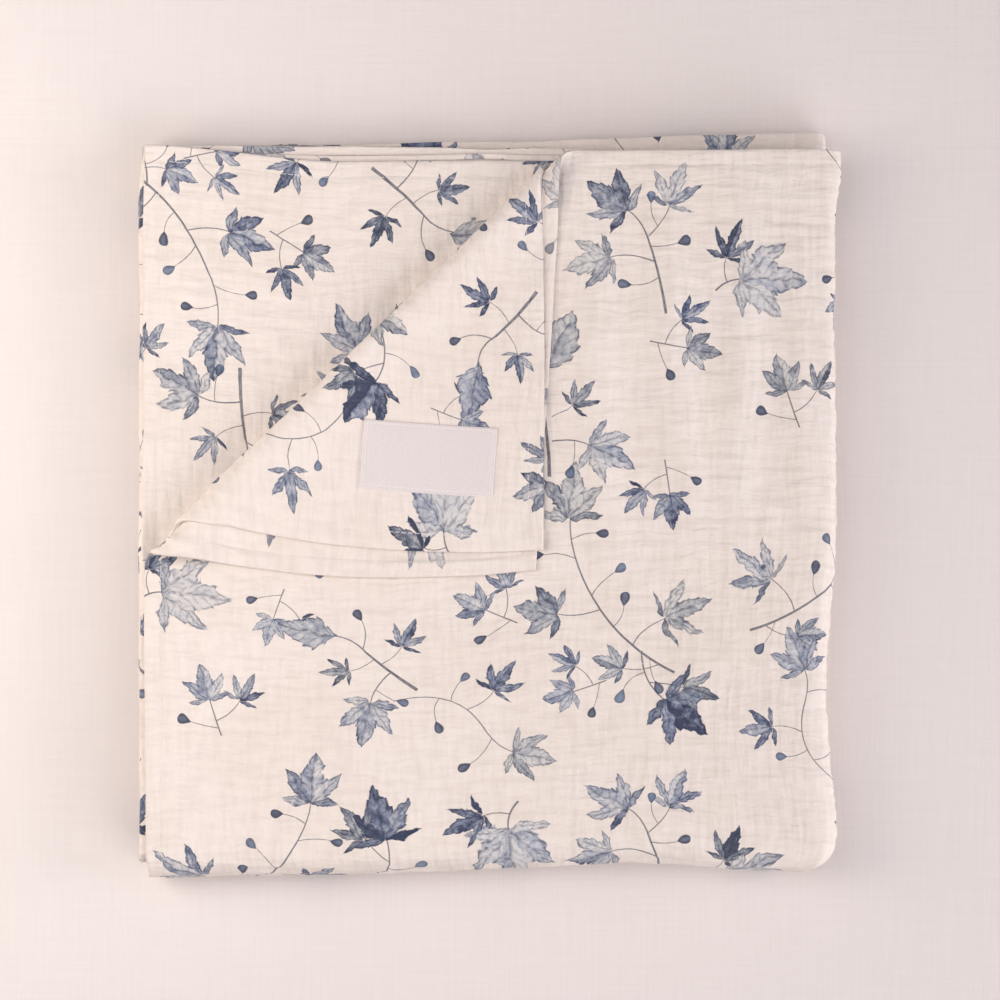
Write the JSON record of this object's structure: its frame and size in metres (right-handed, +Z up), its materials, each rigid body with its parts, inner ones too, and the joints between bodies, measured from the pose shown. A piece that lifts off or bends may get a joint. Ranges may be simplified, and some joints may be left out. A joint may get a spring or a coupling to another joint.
{
  "type": "folded swaddle blanket",
  "caption": "Square muslin baby blanket folded to a flat pack, with one open corner turned back and a small woven label sewn to it.",
  "frame": {"origin": "centre of the folded pack's box at its underside, on the surface that it rests on", "axes": "+Z up, away from the surface; +X towards the fold on the right; +Y towards the open top hems"},
  "size_m": [0.2894, 0.3085, 0.0294],
  "materials": {
    "gauze": "matt crinkled double gauze, warm white, printed with blue-grey leaves",
    "woven_label": "smooth white woven ribbon, bare"
  },
  "bodies": {
    "root": {"blanket": "gauze", "label": "woven_label"}
  },
  "joints": []
}
